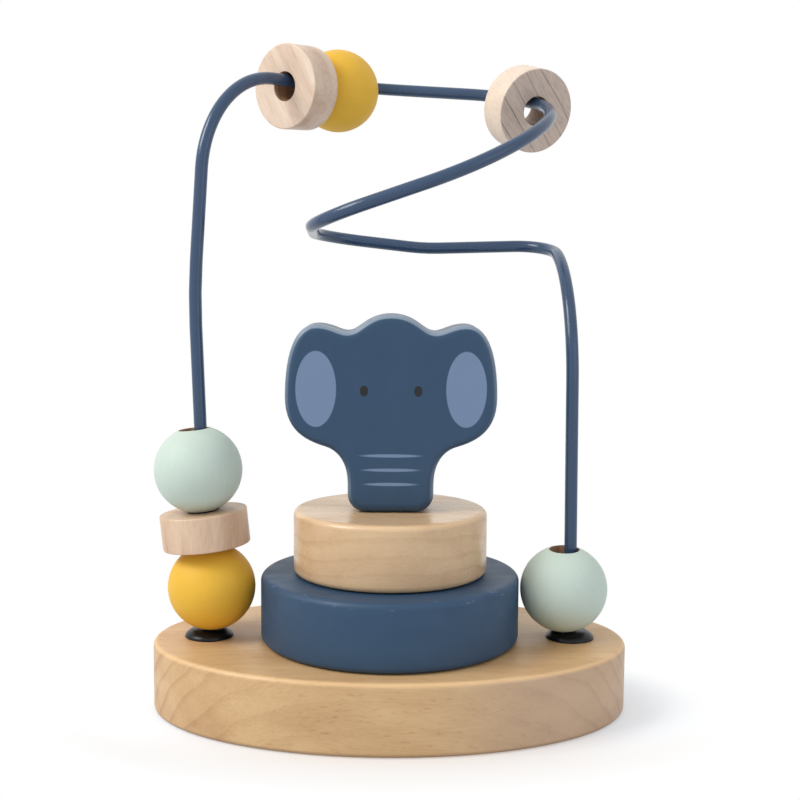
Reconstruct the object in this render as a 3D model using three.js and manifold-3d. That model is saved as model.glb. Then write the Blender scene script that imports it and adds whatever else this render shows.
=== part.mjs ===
// Bead toy: an oval board carries one bent wire with sliding beads,
// and beside it a post with two turning discs under a flat animal head.
// Millimetres, +Z up, the front faces -Y. The origin is the middle of the board's underside.
import * as THREE from 'three';
import { mergeVertices } from 'three/addons/utils/BufferGeometryUtils.js';
import Module from 'manifold-3d';

// Clearances
const SEAT_GAP = 0.2;
const HOLE_GAP = 0.3;
const BEAD_GAP = 0.3;

// Oval board
const BOARD_LENGTH = 135;
const BOARD_DEPTH = 86.4;
const BOARD_THICKNESS = 19.8;
const BOARD_EDGE_RADIUS = 2.2;

// Sockets of the wire ends, and the collars that close them
const SOCKET_SPREAD = 103.8;
const SOCKET_DEPTH = 14;
const COLLAR_FLANGE_DIAMETER = 13.8;
const COLLAR_TOP_DIAMETER = 10;
const COLLAR_HEIGHT = 2;
const COLLAR_RIM = 0.4;
const COLLAR_SHANK_DIAMETER = 8;
const COLLAR_SHANK_LENGTH = 9;

// Wire: each corner has its place and the radius that it is bent to.
// x of a leg's corner counts from that leg's socket, and z counts from the board's top.
const WIRE_DIAMETER = 3.6;
const WIRE_SIDES = 10;
const WIRE_STEP = 4.4;
const WIRE_FOOT_BEND = { at: [0, 0, 2.2], bend: 30 };
const LEFT_LEG = [
  { at: [-3.4, 0, 98.3], bend: 180 },
  { at: [0.6, 0, 159.2], bend: 29 },
];
const UPPER_LOOPS = [
  { at: [-13.1, 52.6, 162.4], bend: 30 },
  { at: [45.6, 40.2, 157.8], bend: 28 },
  { at: [44.7, -21.2, 140.3], bend: 38 },
  { at: [-21.9, -13.9, 117.6], bend: 19 },
  { at: [-24.1, 42.6, 115.6], bend: 15 },
  { at: [10, 41.5, 111.8], bend: 70 },
  { at: [49.3, 40.6, 113], bend: 12.5 },
];
const RIGHT_LEG = [{ at: [-0.9, 0, 103.3], bend: 37 }];

// Beads
const BALL_DIAMETER = 25;
const DISC_BEAD_DIAMETER = 25;
const DISC_BEAD_THICKNESS = 10;
const DISC_BEAD_EDGE_RADIUS = 1;
const BEAD_BORE = 8.4;
const BEAD_SEGMENTS = 30;

// Where the upper beads hang: the bend that they are counted from and how far past its middle,
// or the gap to the bead before, and their hang and lean to the side and upwards
// as shares of the play in the bore.
const TOP_DISC_PLACE = { bend: 4, past: -25.6, hang: [0.25, -0.9], lean: [0.15, 0] };
const TOP_BALL_PLACE = { gap: 0.7, hang: [-0.1, -0.95], lean: [0, 0] };
const BACK_DISC_PLACE = { bend: 5, past: 3.7, hang: [0.15, -0.93], lean: [0.2, 0] };
const RIGHT_BALL_REST = { hang: [-0.9, 0], lean: [0, 0.35] };

// Centre stack
const POST_DIAMETER = 8;
const POST_SOCKET_DEPTH = 12;
const LOWER_DISC_DIAMETER = 73.6;
const LOWER_DISC_THICKNESS = 18.9;
const UPPER_DISC_DIAMETER = 55;
const UPPER_DISC_THICKNESS = 18.3;
const DISC_EDGE_RADIUS = 1.8;
const DISC_BORE = 9.2;
const DISC_SEGMENTS = 50;

// Head: half of its outline, from the middle of the foot to the crown, in x and height
const HEAD_THICKNESS = 18;
const HEAD_EDGE_RADIUS = 1.6;
const HEAD_SOCKET_DEPTH = 15;
const FOOT_HALF_WIDTH = 12;
const FOOT_CORNER = 3;
const HEAD_OUTLINE = [
  { to: [13.6, 14.5], out: [11.4, 6.5], into: [11.8, 11.5] },
  { to: [18.2, 18.2], out: [14.6, 16.2], into: [16.2, 17.6] },
  { to: [29.5, 32], out: [23.5, 19.8], into: [29.5, 22.5] },
  { to: [20.8, 52.2], out: [29.5, 43], into: [27.2, 52.2] },
  { to: [12.2, 50.2], out: [16.8, 52.2], into: [14.6, 50.2] },
  { to: [0, 55], out: [9, 50.2], into: [7, 55] },
];

// Worked out from the sizes above
const BOARD_TOP = BOARD_THICKNESS;
const COLLAR_TOP = BOARD_TOP + SEAT_GAP + COLLAR_HEIGHT;
const BALL_HALF_BORE = Math.sqrt(BALL_DIAMETER ** 2 - BEAD_BORE ** 2) / 2;
const LOWER_DISC_Z = BOARD_TOP + SEAT_GAP;
const UPPER_DISC_Z = LOWER_DISC_Z + LOWER_DISC_THICKNESS + SEAT_GAP;
const HEAD_Z = UPPER_DISC_Z + UPPER_DISC_THICKNESS + SEAT_GAP;

const beech = () => new THREE.MeshStandardMaterial({ color: '#d9b98f', roughness: 0.6, metalness: 0 });
const bluePaint = () => new THREE.MeshStandardMaterial({ color: '#44597a', roughness: 0.5, metalness: 0 });
const blueCoat = () => new THREE.MeshStandardMaterial({ color: '#46597b', roughness: 0.4, metalness: 0 });
const yellowPaint = () => new THREE.MeshStandardMaterial({ color: '#e0b13a', roughness: 0.5, metalness: 0 });
const mintPaint = () => new THREE.MeshStandardMaterial({ color: '#bccfc0', roughness: 0.5, metalness: 0 });
const blackPlastic = () => new THREE.MeshStandardMaterial({ color: '#1b1b1d', roughness: 0.3, metalness: 0 });

const wasm = await Module();
wasm.setup();

// A closed geometry as a solid, and a solid as a geometry
function toSolid(geometry) {
  const bare = geometry.clone();
  bare.deleteAttribute('normal');
  bare.deleteAttribute('uv');
  const merged = mergeVertices(bare);
  return new wasm.Manifold(new wasm.Mesh({
    numProp: 3,
    vertProperties: new Float32Array(merged.attributes.position.array),
    triVerts: new Uint32Array(merged.index.array),
  }));
}

function toGeometry(solid) {
  const mesh = solid.getMesh();
  const geometry = new THREE.BufferGeometry();
  geometry.setAttribute('position', new THREE.BufferAttribute(mesh.vertProperties, 3));
  geometry.setIndex(new THREE.BufferAttribute(mesh.triVerts, 1));
  geometry.computeVertexNormals();
  return geometry;
}

function cut(geometry, tools) {
  let solid = toSolid(geometry);
  for (const tool of tools) solid = solid.subtract(toSolid(tool));
  return toGeometry(solid);
}

// An upright round bar from z = bottom to z = top, used as a post and as a drill
function uprightBar(diameter, bottom, top, x = 0, segments = 32) {
  const bar = new THREE.CylinderGeometry(diameter / 2, diameter / 2, top - bottom, segments);
  bar.rotateX(Math.PI / 2);
  return bar.translate(x, 0, (top + bottom) / 2);
}

// A profile of [radius, z] points that closes on itself, turned about Z
function turned(profile, segments) {
  const points = [...profile, profile[0]].map(([radius, z]) => new THREE.Vector2(radius, z));
  return new THREE.LatheGeometry(points, segments).rotateX(Math.PI / 2);
}

// Points of a quarter arc from one angle to another, about a centre in [radius, z]
function arcPoints(centre, radius, from, to, steps) {
  return Array.from({ length: steps + 1 }, (_, i) => {
    const angle = from + (to - from) * i / steps;
    return [centre[0] + radius * Math.cos(angle), centre[1] + radius * Math.sin(angle)];
  });
}

// A round slab with rounded rims and a bore, standing on z = 0
function boredSlab(diameter, thickness, bore, rim, segments) {
  const edge = diameter / 2 - rim;
  return turned([
    [bore / 2, 0],
    ...arcPoints([edge, rim], rim, -Math.PI / 2, 0, 3),
    ...arcPoints([edge, thickness - rim], rim, 0, Math.PI / 2, 3),
    [bore / 2, thickness],
  ], segments);
}

// A ball with a bore along Z, centred on the origin
function boredBall() {
  const rim = Math.asin(2 * BALL_HALF_BORE / BALL_DIAMETER);
  return turned(arcPoints([0, 0], BALL_DIAMETER / 2, -rim, rim, 12), BEAD_SEGMENTS);
}

function boredDiscBead() {
  const slab = boredSlab(
    DISC_BEAD_DIAMETER, DISC_BEAD_THICKNESS, BEAD_BORE, DISC_BEAD_EDGE_RADIUS, BEAD_SEGMENTS);
  return slab.translate(0, 0, -DISC_BEAD_THICKNESS / 2);
}

// The wire's centre line: straight runs between corners, each corner rounded by an arc.
// bends[i] is the distance along the line to the middle of corner i's arc.
class BentWire extends THREE.Curve {
  constructor(corners) {
    super();
    this.runs = [];
    this.bends = [0];
    this.total = 0;
    let from = corners[0].at;
    for (let i = 1; i < corners.length - 1; i += 1) {
      const arc = this.bendAt(corners[i - 1].at, corners[i].at, corners[i + 1].at, corners[i].bend);
      this.addRun(from.distanceTo(arc.start), this.line(from, arc.start));
      this.bends.push(this.total + arc.length / 2);
      this.addRun(arc.length, arc.point);
      from = arc.end;
    }
    const last = corners.at(-1).at;
    this.addRun(from.distanceTo(last), this.line(from, last));
  }

  line(from, to) {
    return (share) => from.clone().lerp(to, share);
  }

  addRun(length, point) {
    this.runs.push({ start: this.total, length, point });
    this.total += length;
  }

  bendAt(before, corner, after, radius) {
    const back = before.clone().sub(corner).normalize();
    const ahead = after.clone().sub(corner).normalize();
    const half = back.angleTo(ahead) / 2;
    const reach = radius / Math.tan(half);
    const start = corner.clone().addScaledVector(back, reach);
    const end = corner.clone().addScaledVector(ahead, reach);
    const middle = back.clone().add(ahead).normalize();
    const centre = corner.clone().addScaledVector(middle, radius / Math.sin(half));
    const turn = Math.PI - 2 * half;
    const spoke = start.clone().sub(centre);
    const axis = ahead.clone().cross(back).normalize();
    const point = (share) => spoke.clone().applyAxisAngle(axis, turn * share).add(centre);
    return { start, end, length: radius * turn, point };
  }

  atLength(distance) {
    const run = this.runs.findLast((each) => each.start <= distance) ?? this.runs[0];
    return run.point((distance - run.start) / run.length);
  }

  getPoint(share) {
    return this.atLength(share * this.total);
  }
}

// The wire's corners from the left foot over the top to the right foot
function wireCorners() {
  const footZ = BOARD_TOP - SOCKET_DEPTH + HOLE_GAP;
  const corner = (socketX) => ({ at: [x, y, z], bend }) => (
    { at: new THREE.Vector3(socketX + x, y, BOARD_TOP + z), bend });
  const onLeft = corner(-SOCKET_SPREAD / 2);
  const onRight = corner(SOCKET_SPREAD / 2);
  const foot = { at: [0, 0, footZ - BOARD_TOP] };
  return [
    onLeft(foot),
    onLeft(WIRE_FOOT_BEND),
    ...LEFT_LEG.map(onLeft),
    ...UPPER_LOOPS.map(corner(0)),
    ...RIGHT_LEG.map(onRight),
    onRight(WIRE_FOOT_BEND),
    onRight(foot),
  ];
}

const wireLine = new BentWire(wireCorners());

function mazeWire() {
  const section = new THREE.Shape(
    new THREE.EllipseCurve(0, 0, WIRE_DIAMETER / 2, WIRE_DIAMETER / 2).getPoints(WIRE_SIDES).slice(0, -1));
  const steps = Math.round(wireLine.total / WIRE_STEP);
  return new THREE.ExtrudeGeometry(section, { steps, extrudePath: wireLine });
}

// Collar: a shank in the socket and a domed head on the board, round the wire
function collar() {
  const hole = WIRE_DIAMETER / 2 + HOLE_GAP;
  const flange = COLLAR_FLANGE_DIAMETER / 2;
  const neck = COLLAR_TOP_DIAMETER / 2;
  const quarter = arcPoints([0, 0], 1, 0, Math.PI / 2, 3);
  const dome = quarter.map(([across, up]) => [
    neck + (flange - neck) * across,
    COLLAR_RIM + (COLLAR_HEIGHT - COLLAR_RIM) * up,
  ]);
  return turned([
    [hole, -COLLAR_SHANK_LENGTH],
    [COLLAR_SHANK_DIAMETER / 2, -COLLAR_SHANK_LENGTH],
    [COLLAR_SHANK_DIAMETER / 2, 0],
    [flange, 0],
    ...dome,
    [hole, COLLAR_HEIGHT],
  ], 24);
}

// Oval board with its two wire sockets and the post's socket
function baseBoard() {
  const oval = new THREE.Shape(
    new THREE.EllipseCurve(0, 0, BOARD_LENGTH / 2, BOARD_DEPTH / 2).getPoints(80).slice(0, -1));
  const board = new THREE.ExtrudeGeometry(oval, {
    depth: BOARD_THICKNESS - 2 * BOARD_EDGE_RADIUS,
    bevelThickness: BOARD_EDGE_RADIUS,
    bevelSize: BOARD_EDGE_RADIUS,
    bevelOffset: -BOARD_EDGE_RADIUS,
    bevelSegments: 3,
  }).translate(0, 0, BOARD_EDGE_RADIUS);
  const clearOfTop = BOARD_TOP + 1;
  const drills = [
    uprightBar(POST_DIAMETER + 2 * HOLE_GAP, BOARD_TOP - POST_SOCKET_DEPTH, clearOfTop),
  ];
  for (const x of [-SOCKET_SPREAD / 2, SOCKET_SPREAD / 2]) {
    const shankSeat = BOARD_TOP - COLLAR_SHANK_LENGTH - HOLE_GAP;
    drills.push(uprightBar(COLLAR_SHANK_DIAMETER + 2 * HOLE_GAP, shankSeat, clearOfTop, x));
    drills.push(uprightBar(WIRE_DIAMETER + 2 * HOLE_GAP, BOARD_TOP - SOCKET_DEPTH, clearOfTop, x));
  }
  return cut(board, drills);
}

// Flat head: the half outline and its mirror image, extruded with rounded edges, drilled for the post
function elephantHead() {
  const outline = new THREE.Shape();
  outline.moveTo(FOOT_HALF_WIDTH - FOOT_CORNER, 0);
  outline.quadraticCurveTo(FOOT_HALF_WIDTH, 0, FOOT_HALF_WIDTH, FOOT_CORNER);
  for (const { to, out, into } of HEAD_OUTLINE) outline.bezierCurveTo(...out, ...into, ...to);
  const starts = [[FOOT_HALF_WIDTH, FOOT_CORNER], ...HEAD_OUTLINE.map(({ to }) => to)];
  for (let i = HEAD_OUTLINE.length - 1; i >= 0; i -= 1) {
    const { out, into } = HEAD_OUTLINE[i];
    const [x, height] = starts[i];
    outline.bezierCurveTo(-into[0], into[1], -out[0], out[1], -x, height);
  }
  outline.quadraticCurveTo(-FOOT_HALF_WIDTH, 0, FOOT_CORNER - FOOT_HALF_WIDTH, 0);
  const board = new THREE.ExtrudeGeometry(outline, {
    curveSegments: 9,
    depth: HEAD_THICKNESS - 2 * HEAD_EDGE_RADIUS,
    bevelThickness: HEAD_EDGE_RADIUS,
    bevelSize: HEAD_EDGE_RADIUS,
    bevelOffset: -HEAD_EDGE_RADIUS,
    bevelSegments: 3,
  }).translate(0, 0, HEAD_EDGE_RADIUS - HEAD_THICKNESS / 2);
  board.rotateX(Math.PI / 2);
  return cut(board, [uprightBar(POST_DIAMETER + 2 * HOLE_GAP, -1, HEAD_SOCKET_DEPTH)]);
}

function centrePost() {
  return uprightBar(POST_DIAMETER, BOARD_TOP - POST_SOCKET_DEPTH + HOLE_GAP, HEAD_Z + HEAD_SOCKET_DEPTH - HOLE_GAP);
}

const toy = new THREE.Group();

function addPiece(name, geometry, material, parent = toy) {
  const mesh = new THREE.Mesh(geometry, material);
  mesh.name = name;
  parent.add(mesh);
  return mesh;
}

// Turns a piece's own Z axis to a direction
function aim(piece, direction) {
  piece.quaternion.setFromUnitVectors(new THREE.Vector3(0, 0, 1), direction.clone().normalize());
}

// Hangs a bead on the wire at a distance along it, moved and leant by shares of the play in its bore
function hangBead(bead, distance, halfBore, { hang, lean }) {
  const entry = wireLine.atLength(distance - halfBore);
  const exit = wireLine.atLength(distance + halfBore);
  const chordMiddle = entry.clone().add(exit).divideScalar(2);
  const bow = wireLine.atLength(distance).sub(chordMiddle);
  const axis = exit.clone().sub(entry).normalize();
  const level = Math.abs(axis.z) < 0.9 ? new THREE.Vector3(0, 0, 1) : new THREE.Vector3(0, 1, 0);
  const side = axis.clone().cross(level).normalize();
  const up = side.clone().cross(axis);
  const free = (BEAD_BORE - WIRE_DIAMETER) / 2 - BEAD_GAP;
  const play = Math.sqrt(Math.max(free ** 2 - bow.lengthSq() / 4, 0));
  bead.position.copy(chordMiddle).addScaledVector(bow, 0.5);
  bead.position.addScaledVector(side, play * hang[0]).addScaledVector(up, play * hang[1]);
  const slope = play / halfBore;
  aim(bead, axis.clone().addScaledVector(side, slope * lean[0]).addScaledVector(up, slope * lean[1]));
}

// Board, wire, collars and post
addPiece('base_board', baseBoard(), beech());
addPiece('maze_wire', mazeWire(), blueCoat());
for (const [name, x] of [['left_collar', -SOCKET_SPREAD / 2], ['right_collar', SOCKET_SPREAD / 2]]) {
  addPiece(name, collar(), blackPlastic()).position.set(x, 0, BOARD_TOP + SEAT_GAP);
}
addPiece('centre_post', centrePost(), beech());

// Stack on the post
const lowerDisc = boredSlab(
  LOWER_DISC_DIAMETER, LOWER_DISC_THICKNESS, DISC_BORE, DISC_EDGE_RADIUS, DISC_SEGMENTS);
addPiece('lower_disc', lowerDisc, bluePaint()).position.z = LOWER_DISC_Z;
const upperDisc = boredSlab(
  UPPER_DISC_DIAMETER, UPPER_DISC_THICKNESS, DISC_BORE, DISC_EDGE_RADIUS, DISC_SEGMENTS);
addPiece('upper_disc', upperDisc, beech()).position.z = UPPER_DISC_Z;
addPiece('elephant_head', elephantHead(), bluePaint()).position.z = HEAD_Z;

// Left column: three beads in one straight stack, which leans as far as its bores let it
const pitch = DISC_BEAD_THICKNESS / 2 + SEAT_GAP + BALL_HALF_BORE;
const columnHalf = pitch + BALL_HALF_BORE;
const legStart = wireLine.atLength(wireLine.bends[1]);
const legDirection = wireLine.atLength(wireLine.bends[2]).sub(legStart).normalize();
const columnPlay = (BEAD_BORE - WIRE_DIAMETER) / 2 - BEAD_GAP;
const columnAxis = legDirection.clone().add(new THREE.Vector3(-columnPlay / columnHalf, 0, 0)).normalize();
const lowRim = BEAD_BORE / 2 * Math.abs(columnAxis.x);
const columnMiddleZ = COLLAR_TOP + SEAT_GAP + lowRim + columnHalf * columnAxis.z;
const column = new THREE.Group();
column.position.copy(legStart).addScaledVector(legDirection, (columnMiddleZ - legStart.z) / legDirection.z);
aim(column, columnAxis);
addPiece('left_yellow_ball', boredBall(), yellowPaint(), column).position.z = -pitch;
addPiece('left_disc_bead', boredDiscBead(), beech(), column);
addPiece('left_mint_ball', boredBall(), mintPaint(), column).position.z = pitch;
toy.add(column);

// Beads on the upper loops and on the right leg
const discHalf = DISC_BEAD_THICKNESS / 2;
const { bends, total } = wireLine;
const topDisc = addPiece('top_disc_bead', boredDiscBead(), beech());
const topDiscAt = bends[TOP_DISC_PLACE.bend] + TOP_DISC_PLACE.past;
hangBead(topDisc, topDiscAt, discHalf, TOP_DISC_PLACE);
const topBall = addPiece('top_yellow_ball', boredBall(), yellowPaint());
const topBallAt = topDiscAt + discHalf + TOP_BALL_PLACE.gap + BALL_DIAMETER / 2;
hangBead(topBall, topBallAt, BALL_HALF_BORE, TOP_BALL_PLACE);
const backDisc = addPiece('back_disc_bead', boredDiscBead(), beech());
hangBead(backDisc, bends[BACK_DISC_PLACE.bend] + BACK_DISC_PLACE.past, discHalf, BACK_DISC_PLACE);
const rightBall = addPiece('right_mint_ball', boredBall(), mintPaint());
const rightRest = total - (COLLAR_TOP + 2 * SEAT_GAP - (BOARD_TOP - SOCKET_DEPTH + HOLE_GAP)) - BALL_HALF_BORE;
hangBead(rightBall, rightRest, BALL_HALF_BORE, RIGHT_BALL_REST);

export default toy;
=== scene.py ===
"""Wooden bead toy: the visible pieces, their finishes and the stage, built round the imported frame."""

import math

import bmesh
import bpy
import numpy as np
from bpy.props import FloatProperty, FloatVectorProperty, IntProperty, PointerProperty
from mathutils import Matrix, Vector


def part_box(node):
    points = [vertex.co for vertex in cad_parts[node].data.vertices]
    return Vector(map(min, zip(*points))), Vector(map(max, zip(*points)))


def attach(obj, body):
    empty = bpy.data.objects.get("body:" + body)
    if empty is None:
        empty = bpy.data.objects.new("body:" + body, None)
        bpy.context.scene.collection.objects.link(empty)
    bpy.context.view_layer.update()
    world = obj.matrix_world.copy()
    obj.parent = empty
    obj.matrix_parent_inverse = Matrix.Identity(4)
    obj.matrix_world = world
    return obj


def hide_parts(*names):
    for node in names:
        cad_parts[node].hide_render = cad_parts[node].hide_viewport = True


bl_info = {
    "name": "Wooden Bead Toy",
    "version": (1, 0, 0),
    "blender": (4, 5, 0),
    "location": "View3D > Sidebar > Bead Toy",
    "description": "Models a wooden bead toy on its packed frame: board, wire, beads, discs and head",
    "category": "Object",
}

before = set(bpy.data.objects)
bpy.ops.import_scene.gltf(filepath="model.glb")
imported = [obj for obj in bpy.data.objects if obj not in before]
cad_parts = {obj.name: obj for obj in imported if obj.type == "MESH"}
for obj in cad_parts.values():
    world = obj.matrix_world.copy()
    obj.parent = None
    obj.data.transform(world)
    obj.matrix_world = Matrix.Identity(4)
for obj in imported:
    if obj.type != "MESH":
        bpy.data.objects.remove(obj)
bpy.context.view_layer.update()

MM = 0.001
UP = Vector((0, 0, 1))

# Points that lie nearer than this, in metres, are the same point
WELD = 1e-6

# Board, sockets and the wire's lower end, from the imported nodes
BOARD_LOW, BOARD_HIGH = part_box("base_board")
BOARD_TOP = BOARD_HIGH.z
SOCKET_X = {
    side: sum(corner.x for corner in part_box(side + "_collar")) / 2 for side in ("left", "right")
}
WIRE_FOOT_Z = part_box("maze_wire")[0].z

# Corners of the wire in mm and the radius of each bend.
# x of a leg's corner counts from its socket, z from the board's top.
LEFT_LEG = (((0, 0, 2.2), 30), ((-3.4, 0, 98.3), 180), ((0.6, 0, 159.2), 29))
UPPER_LOOPS = (
    ((-13.1, 52.6, 162.4), 30),
    ((45.6, 40.2, 157.8), 28),
    ((44.7, -21.2, 140.3), 38),
    ((-21.9, -13.9, 117.6), 19),
    ((-24.1, 42.6, 115.6), 15),
    ((10, 41.5, 111.8), 70),
    ((49.3, 40.6, 113), 12.5),
)
RIGHT_LEG = (((-0.9, 0, 103.3), 37), ((0, 0, 2.2), 30))

# Half of the head's outline in mm, from the foot's corner to the crown.
# Each row is one curve: the handle it leaves by, the handle it arrives by and its end.
HEAD_START = (7, 0)
HEAD_OUTLINE = (
    ((9.8, 0), (12, 2.2), (12, 5)),
    ((12, 8), (11.8, 11.5), (13.6, 14.5)),
    ((14.6, 16.2), (16.2, 17.6), (18.2, 18.2)),
    ((23.5, 19.8), (29.5, 22.5), (29.5, 32)),
    ((29.5, 43), (27.2, 52.2), (20.8, 52.2)),
    ((16.8, 52.2), (14.6, 50.2), (12.2, 50.2)),
    ((9, 50.2), (7, 55), (0, 55)),
)

# Print on the head's front: how far behind the front it still shows, and the soft edge of its ink in mm
PRINT_DEPTH = 0.8 * MM
INK_BLEED_MM = 0.08

# Narrow rings of faces beside a rounded rim, which keep the flat of a turned or a sawn piece flat
TURNED_RING = 0.3 * MM
SAWN_RING = 0.25 * MM

# Camera: place in metres, lens in mm, and angles in radians
CAMERA_PLACE = (0, -0.36, 0.12477)
CAMERA_LENS = 57.55
CAMERA_YAW = 0.007
CAMERA_PITCH = 0.101
CAMERA_ROLL = -0.007

# Soft boxes: name, place and width in metres, watts, colour
LAMPS = (
    ("key_light", (-0.68, -0.27, 0.7), 0.45, 5.3, "#ffffff"),
    ("fill_light", (0.75, -0.6, 0.3), 0.6, 1.1, "#cbdfff"),
    ("back_light", (-0.15, 0.75, 0.55), 0.7, 0.25, "#ffffff"),
)
LAMP_AIM = Vector((0, 0, 0.08))

# Strength of the surround's light on the toy, and of the paper's own glow for the camera
SURROUND_LIGHT = 0.72
PAPER_GLOW = 0.34


def linear(code):
    """An sRGB hex code as linear red, green, blue and alpha."""
    parts = [int(code[i:i + 2], 16) / 255 for i in (1, 3, 5)]
    return (*(p / 12.92 if p <= 0.04045 else ((p + 0.055) / 1.055) ** 2.4 for p in parts), 1.0)


def colour(title, about, code):
    """A colour setting whose default is an sRGB hex code."""
    return FloatVectorProperty(
        name=title, description=about, subtype="COLOR", size=4, min=0, max=1, default=linear(code))


def length(title, about, millimetres):
    """A length setting whose default is given in millimetres."""
    return FloatProperty(
        name=title, description=about, unit="LENGTH", min=0, precision=5, default=millimetres * MM)


class BoardSettings(bpy.types.PropertyGroup):
    """Sizes and colours of the oval board."""

    edge_radius: length("Edge radius", "Rounding of the board's two rims", 1.5)
    collar_bore: length("Collar bore", "Diameter of the hole for a collar's shank", 8.6)
    collar_bore_depth: length("Collar bore depth", "Depth of the hole for a collar's shank", 9.3)
    wire_bore: length("Wire bore", "Diameter of the hole for a wire's end", 4.2)
    wire_bore_depth: length("Wire bore depth", "Depth of the hole for a wire's end", 14)
    post_bore: length("Post bore", "Diameter of the hole for the post", 8.6)
    post_bore_depth: length("Post bore depth", "Depth of the hole for the post", 12)
    pale: colour("Pale wood", "Early wood of the board", "#dcb785")
    deep: colour("Deep wood", "Late wood and flecks of the board", "#b98c5f")


class WireSettings(bpy.types.PropertyGroup):
    """Sizes and colour of the bent wire and of the collars at its feet."""

    diameter: length("Diameter", "Wire with its coat", 3.6)
    sides: IntProperty(name="Sides", description="Sides of the wire's round section", min=8, default=28)
    coat: colour("Coat", "Blue plastic coat of the wire", "#334b68")
    flange: length("Collar flange", "Diameter of a collar's foot", 13.8)
    neck: length("Collar neck", "Diameter of a collar's top", 9.4)
    hole: length("Collar hole", "Diameter of the hole through a collar", 4.2)
    shank: length("Collar shank", "Diameter of the part in the board", 8)
    collar_gap: length("Collar gap", "Height of a collar's foot above the board", 0.02)
    collar_edge: length("Collar edge", "Rounding of a collar's edges", 0.15)
    lip: FloatProperty(
        name="Collar lip", description="Upright share of a collar's height", subtype="FACTOR",
        min=0, max=1, default=0.08)
    fullness: FloatProperty(
        name="Collar fullness", description="Power of the flare's curve; a smaller one is fuller", min=0,
        default=0.8)
    plastic: colour("Collar plastic", "Black plastic of the collars", "#101112")


class BeadSettings(bpy.types.PropertyGroup):
    """Sizes and colours of the ball and disc beads."""

    ball: length("Ball", "Diameter of a ball bead", 24.9)
    disc: length("Disc", "Diameter of a disc bead", 24.8)
    disc_thickness: length("Disc thickness", "Thickness of a disc bead", 10)
    disc_edge: length("Disc edge", "Rounding of a disc bead's rims", 0.4)
    bore: length("Bore", "Diameter of the hole through each bead", 8.4)
    mouth: length("Mouth rounding", "Rounding of the bore's mouth", 0.35)
    yellow: colour("Yellow", "Paint of the yellow balls", "#ecb93e")
    mint: colour("Mint", "Paint of the mint balls", "#c9d8cb")
    pale: colour("Pale wood", "Early wood of the upper disc beads", "#efdac4")
    tan: colour("Tan wood", "Early wood of the left disc bead", "#e2c4a6")
    deep: colour("Deep wood", "Late wood of the left and top disc beads", "#ba9070")
    # This grey late wood also greys the back bead's face, partly as painted shade of that face
    grey: colour("Grey wood", "Late wood of the back disc bead", "#856b66")


class StackSettings(bpy.types.PropertyGroup):
    """Sizes and colours of the discs and of the head."""

    edge_radius: length("Disc edge", "Rounding of the discs' rims", 1.8)
    bore: length("Disc bore", "Diameter of the hole for the post", 9.2)
    head_edge: length("Head edge", "Rounding of the head's outline", 2.2)
    head_bore: length("Head bore", "Diameter of the head's hole for the post", 8.6)
    head_bore_depth: length("Head bore depth", "Depth of the head's hole for the post", 15)
    blue: colour("Blue", "Paint of the lower disc and of the head", "#264663")
    print_pale: colour("Pale print", "Paler blue of the printed ear patches and of scuffs", "#7187a5")
    # Paler blue for the painted highlight on the head's upper rims
    rim_sheen: colour("Rim sheen", "Paler blue painted on the head's upper rims as a highlight", "#a6b4c2")
    print_dark: colour("Dark print", "Ink of the eyes", "#07090c")
    pale: colour("Pale wood", "Early wood of the upper disc", "#dcbb92")
    deep: colour("Deep wood", "Late wood of the upper disc", "#be966e")


class ToySettings(bpy.types.PropertyGroup):
    """All settings of the toy."""

    board: PointerProperty(type=BoardSettings)
    wire: PointerProperty(type=WireSettings)
    beads: PointerProperty(type=BeadSettings)
    stack: PointerProperty(type=StackSettings)


# Modelling helpers

def clear_selection():
    """Leaves edit mode and deselects every object."""
    if bpy.context.mode != "OBJECT":
        bpy.ops.object.mode_set(mode="OBJECT")
    bpy.ops.object.select_all(action="DESELECT")


def make_active(piece):
    """Selects one object alone."""
    clear_selection()
    piece.select_set(True)
    bpy.context.view_layer.objects.active = piece


def pick(piece, kind, test):
    """Selects the edit mesh's vertices, edges or faces that pass a test."""
    bpy.ops.mesh.select_mode(type=kind)
    bpy.ops.mesh.select_all(action="DESELECT")
    shape = bmesh.from_edit_mesh(piece.data)
    for part in {"VERT": shape.verts, "EDGE": shape.edges, "FACE": shape.faces}[kind]:
        if test(part):
            part.select_set(True)
    shape.select_flush_mode()
    bmesh.update_edit_mesh(piece.data)


def arc(centre, radius, start, end, steps):
    """Points of an arc from one angle to another in degrees, as (radius, height)."""
    angles = [math.radians(start + (end - start) * i / steps) for i in range(steps + 1)]
    return [(centre[0] + radius * math.cos(a), centre[1] + radius * math.sin(a)) for a in angles]


def disc_profile(bore, radius, low, high, rim, steps):
    """Closed (radius, height) profile of a bored disc with rounded rims."""
    flat = radius - rim - TURNED_RING
    return [
        (bore, low),
        (flat, low),
        *arc((radius - rim, low + rim), rim, -90, 0, steps),
        *arc((radius - rim, high - rim), rim, 0, 90, steps),
        (flat, high),
        (bore, high),
    ]


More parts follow.
